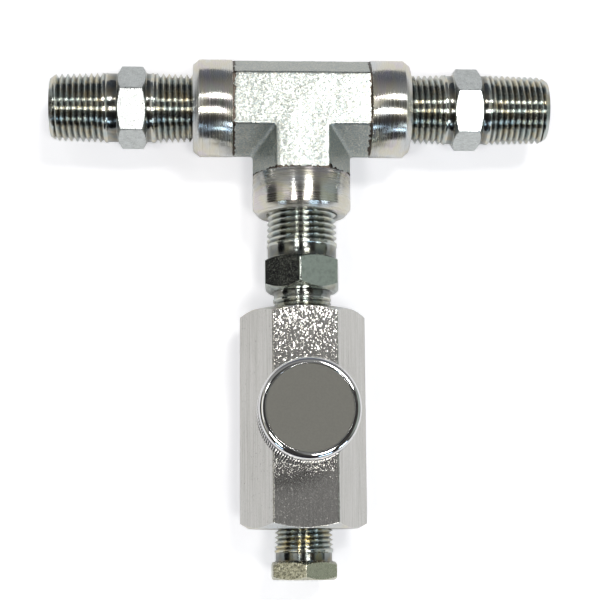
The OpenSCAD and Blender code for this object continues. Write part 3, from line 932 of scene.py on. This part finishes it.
def passage(name, start, place):
    """A drilled passage along local Z from start."""
    skin = Skin(round_columns(48))
    skin.rings((start, 0), (start, PASSAGE_R), (PASSAGE_LENGTH, PASSAGE_R), (PASSAGE_LENGTH, 0))
    return skin.build(name, place)


def valve_cutters():
    """The bonnet's counterbore and thread, the chamber with its seat, and the two passages."""
    front = valve_high.z
    inlet, seat = AXIS_Z - INLET_DROP, AXIS_Z + SEAT_RISE
    thread_end, shelf = front - BONNET_DEPTH, front - COUNTERBORE_DEPTH
    bore = Skin(round_columns(72))
    bore.rings((inlet, 0), (inlet, PASSAGE_R), (seat, PASSAGE_R), (seat, CHAMBER_R),
               (thread_end, CHAMBER_R), (thread_end, BONNET_R), (shelf, BONNET_R), (shelf, COUNTERBORE_R),
               (front - MOUTH_CHAMFER, COUNTERBORE_R), (front + 1, MOUTH_CUTTER_R), (front + 1, 0))
    return [bore.build("bonnet_bore", Matrix.Identity(4)),
            passage("inlet_passage", -PASSAGE_R, along_y(0, 0, inlet)),
            passage("outlet_passage", 0, against_y(0, 0, seat + OUTLET_GAP + PASSAGE_R))]


put(valve(), "valve_body", [BAR, TURNED_Y])


# Knob

knob_low, knob_high = cad_box("knob")
disc_low, disc_high = cad_box("knob_face_disc")
# Thickness of the skirt, rounding of the rim's front edge, and depth of the disc's recess
SKIRT, RIM_ROUND, RECESS_DEPTH = 2.0, 1.65, 0.8
# Height of the hollow, radius of the stem's hole over it, and where that ends behind the front
HOLLOW_HEIGHT, STEM_HOLE_R, STEM_HOLE_DROP = 12.63, 4, 2.0
# Top of the knurled band over the skirt's end, and depth of its grooves under the rim
BAND_TOP, KNURL_IN = 19.6, 0.12
# The set screw's turn round the knob, and the radius of its hole
SCREW_TURN, SCREW_HOLE_R = 50, 2.45


def rib_radius(share):
    """Radius of the knurl as a function of the angle; share is how much of its height is left."""
    def radius(angle):
        phase = (angle * KNURL_RIBS / 360) % 1
        height = (KNURL_IN + KNURL_OUT) * share * (1 - abs(2 * phase - 1))
        return KNOB_RIM - KNURL_IN + height
    return radius


def knob():
    """The knob's shell, with its hollow, knurled band, recess and screw hole."""
    base, top = knob_low.z, knob_high.z
    rim, inside = KNOB_RIM, KNOB_RIM - SKIRT
    roof, hole_end, recess = base + HOLLOW_HEIGHT, top - STEM_HOLE_DROP, top - RECESS_DEPTH
    disc_r = (disc_high.x - disc_low.x) / 2
    band_top = base + BAND_TOP
    skin = Skin(round_columns(KNURL_RIBS * 4))
    skin.rings((hole_end, 0), (hole_end, STEM_HOLE_R), (roof, STEM_HOLE_R), (roof, inside - 0.3),
               (roof - 0.3, inside), (base + 0.3, inside), (base, inside + 0.3),
               (base, rim - 0.7), (base + 0.15, rim - 0.45))
    skin.slot = 1
    skin.rings((base + 0.55, rib_radius(0.1)), (base + 0.9, rib_radius(1)), (base + 10, rib_radius(1)),
               (band_top - 0.3, rib_radius(1)), (band_top, rib_radius(0.2)))
    skin.slot = 0
    skin.rings((band_top + 0.25, rim - 0.1), (band_top + 0.5, rim))
    skin.arc(top - RIM_ROUND, rim - RIM_ROUND, RIM_ROUND, 0, 90, 14)
    skin.rings((top, disc_r + 0.16), (top, disc_r + 0.13), (top - 0.05, disc_r + 0.07),
               (top - 0.12, disc_r + 0.05), (recess, disc_r + 0.05), (recess, 0))
    body = skin.build("knob_shell", Matrix.Identity(4), sharp=40)
    combine(body, [screw_hole()], "DIFFERENCE")
    shade(body, 40)
    return body


def screw_hole():
    """The set screw's hole, from the stem's hole out through the band."""
    low, high = cad_box("knob_set_screw")
    height = Matrix.Translation((0, 0, (low.z + high.z) / 2))
    turn = Matrix.Rotation(math.radians(SCREW_TURN), 4, "Z") @ Matrix.Rotation(math.radians(90), 4, "Y")
    skin = Skin(round_columns(32))
    skin.rings((3, 0), (3, SCREW_HOLE_R), (18, SCREW_HOLE_R), (18, 0))
    return skin.build("screw_hole", height @ turn)


def face_disc():
    """The disc in the knob's face, with a rounded edge and a very slight dish."""
    skin = Skin(round_columns(144))
    low, high, r = disc_low.z, disc_high.z, (disc_high.x - disc_low.x) / 2
    dish = high - 0.10
    skin.rings((low, 0), (low, r), (high - 0.22, r), (high - 0.12, r - 0.05), (high - 0.08, r - 0.15),
               (dish, r - 0.35), (dish, r - 2), (dish, r - 6), (dish, 0))
    return skin.build("knob_face_plate", Matrix.Identity(4), sharp=50)


put(knob(), "knob", [CHROME, KNURL])
put(face_disc(), "knob_face_disc", [ENAMEL])

for node, slot, material in (("bonnet", "bare_steel", BARE), ("needle_stem", "bare_steel", BARE),
                             ("bonnet_o_ring", "seal_rubber", RUBBER), ("stem_o_ring", "seal_rubber", RUBBER),
                             ("stem_backup_ring_lower", "backup_plastic", WHITE_RING),
                             ("stem_backup_ring_upper", "backup_plastic", WHITE_RING),
                             ("knob_set_screw", "black_steel", BLACK)):
    piece = frame["nodes"][node]
    piece.data.materials.clear()
    piece.data.materials.append(material)


# Table, light and camera

# Colour of the ceiling lamps and of the windows
LAMP_WHITE, WINDOW_BLUE = (1.0, 0.985, 0.95), (0.60, 0.80, 1.0)
# Height of the ceiling lamps, and radiance of the four small ones
CEILING, LAMP = 2.5, 26
# Ceiling lamps: X and Y of the middle, length, width and radiance
LAMPS = {"lamp_far_right": (0.66, 0.80, 0.66, 0.44, LAMP),
         "lamp_far_left": (-1.0, 0.80, 0.3, 0.16, LAMP),
         "lamp_near_right": (0.40, -0.72, 0.45, 0.46, LAMP),
         "lamp_near_left": (-0.91, -0.72, 0.45, 0.46, LAMP),
         "lamp_left": (-2.0, 0.3, 1.15, 1.2, 0.9)}


def floor():
    """The white table, brighter to the camera than in the metal's reflections."""
    half = 3.0
    corners = [(-half, -half, 0), (half, -half, 0), (half, half, 0), (-half, half, 0)]
    mesh = bpy.data.meshes.new("table_top")
    mesh.from_pydata(corners, [], [(0, 1, 2, 3)])
    top = add_object("table_top", mesh)
    material = bpy.data.materials.new("table_white")
    material.use_nodes = True
    tree = material.node_tree
    tree.nodes.clear()
    diffuse = add_node(tree, "ShaderNodeBsdfDiffuse", {"Color": (0.80, 0.80, 0.82, 1)})
    reflected = add_node(tree, "ShaderNodeEmission", {"Color": (*LAMP_WHITE, 1), "Strength": 0.06})
    seen = add_node(tree, "ShaderNodeEmission", {"Color": (0.96, 0.96, 1.0, 1), "Strength": 0.45})
    ray = add_node(tree, "ShaderNodeLightPath").outputs["Is Camera Ray"]
    glow = add_node(tree, "ShaderNodeMixShader", {0: ray, 1: reflected.outputs[0], 2: seen.outputs[0]})
    both = add_node(tree, "ShaderNodeAddShader", {0: diffuse.outputs[0], 1: glow.outputs[0]})
    add_node(tree, "ShaderNodeOutputMaterial", {"Surface": both.outputs[0]})
    top.data.materials.append(material)


def strip(name, centre, target, length, width, radiance, colour):
    """A soft box whose long side lies along X and that faces the target."""
    lamp = bpy.data.lights.new(name, "AREA")
    lamp.shape = "RECTANGLE"
    lamp.size, lamp.size_y = length, width
    lamp.energy = radiance * math.pi * length * width
    lamp.color = colour
    obj = add_object(name, lamp)
    obj.location = centre
    back = (Vector(centre) - Vector(target)).normalized()
    side = Vector((1, 0, 0))
    up = back.cross(side).normalized()
    obj.rotation_mode = "QUATERNION"
    obj.rotation_quaternion = Matrix((side, up, back)).transposed().to_quaternion()


def world():
    """The room as the metal reflects it: bands of tone across X, and along Y towards both its ends."""
    made = bpy.data.worlds.new("room")
    bpy.context.scene.world = made
    made.use_nodes = True
    tree = made.node_tree
    tree.nodes.clear()
    coords = add_node(tree, "ShaderNodeTexCoord").outputs["Generated"]
    split = add_node(tree, "ShaderNodeSeparateXYZ", {0: coords})

    def ramp(side, stops):
        """Colour by the direction's X or Y, from -1 to 1."""
        share = map_range(tree, split.outputs[side], -1, 1)
        return colour_ramp(tree, share, [((place + 1) / 2, colour) for place, colour in stops])

    black, grey, brown = (0.012, 0.012, 0.014), (0.22, 0.225, 0.22), (0.045, 0.04, 0.036)
    silver = (0.55, 0.54, 0.45)
    gap, slate, side_wall = (0.06, 0.058, 0.055), (0.14, 0.155, 0.19), (0.33, 0.37, 0.34)
    across = ramp("X", [(-0.89, black), (-0.85, silver), (-0.72, silver), (-0.66, grey), (-0.5, grey),
                        (-0.3, gap), (-0.1, black), (0.0, gap), (0.05, grey), (0.1, black),
                        (0.2, gap), (0.28, black), (0.36, brown), (0.62, brown),
                        (0.70, side_wall), (0.97, side_wall), (1.0, black)])
    along = ramp("Y", [(-0.95, black), (-0.9, (0.03, 0.03, 0.035)), (-0.42, brown), (-0.36, gap),
                       (0.3, gap), (0.42, (0.33, 0.33, 0.32)), (0.75, (0.18, 0.18, 0.18)),
                       (0.88, (0.11, 0.12, 0.14)), (1.0, slate)])
    lean = add_node(tree, "ShaderNodeMath", {0: split.outputs["Y"]}, operation="ABSOLUTE")
    side = map_range(tree, lean.outputs[0], 0.25, 0.5)
    mix = add_node(tree, "ShaderNodeMix", {"Factor": side, 6: across, 7: along}, data_type="RGBA")
    room = add_node(tree, "ShaderNodeBackground", {"Color": mix.outputs[2]})
    white = add_node(tree, "ShaderNodeBackground", {"Color": (1, 1, 1, 1)})
    seen = add_node(tree, "ShaderNodeLightPath").outputs["Is Camera Ray"]
    pick = add_node(tree, "ShaderNodeMixShader", {0: seen, 1: room.outputs[0], 2: white.outputs[0]})
    add_node(tree, "ShaderNodeOutputWorld", {"Surface": pick.outputs[0]})


def camera():
    """The photograph's camera, nearly straight above; its turns are in radians."""
    data = bpy.data.cameras.new("camera")
    data.sensor_width = 36
    data.lens = 96.74
    obj = add_object("camera", data)
    turn = (Matrix.Rotation(-0.0498, 4, "Y") @ Matrix.Rotation(0.1571, 4, "X")
            @ Matrix.Rotation(-0.0065, 4, "Z"))
    obj.matrix_world = Matrix.Translation((-0.02499, -0.04061, 0.50474)) @ turn
    bpy.context.scene.camera = obj


floor()
world()
camera()
for name, (x, y, length, width, radiance) in LAMPS.items():
    strip(name, (x, y, CEILING), (x, y, 0), length, width, radiance, LAMP_WHITE)
strip("window_left", (-1.8, -2.1, 1.05), (0, 0.03, 0), 0.7, 0.24, 7, WINDOW_BLUE)
strip("window_right", (0.9, -2.1, 1.05), (0, 0.03, 0), 0.7, 0.24, 7, WINDOW_BLUE)
strip("window_corner", (2.2, -2.0, 1.15), (0, 0.08, 0), 0.8, 0.4, 8, (0.72, 0.86, 1.0))
bpy.context.scene.view_settings.view_transform = "Standard"
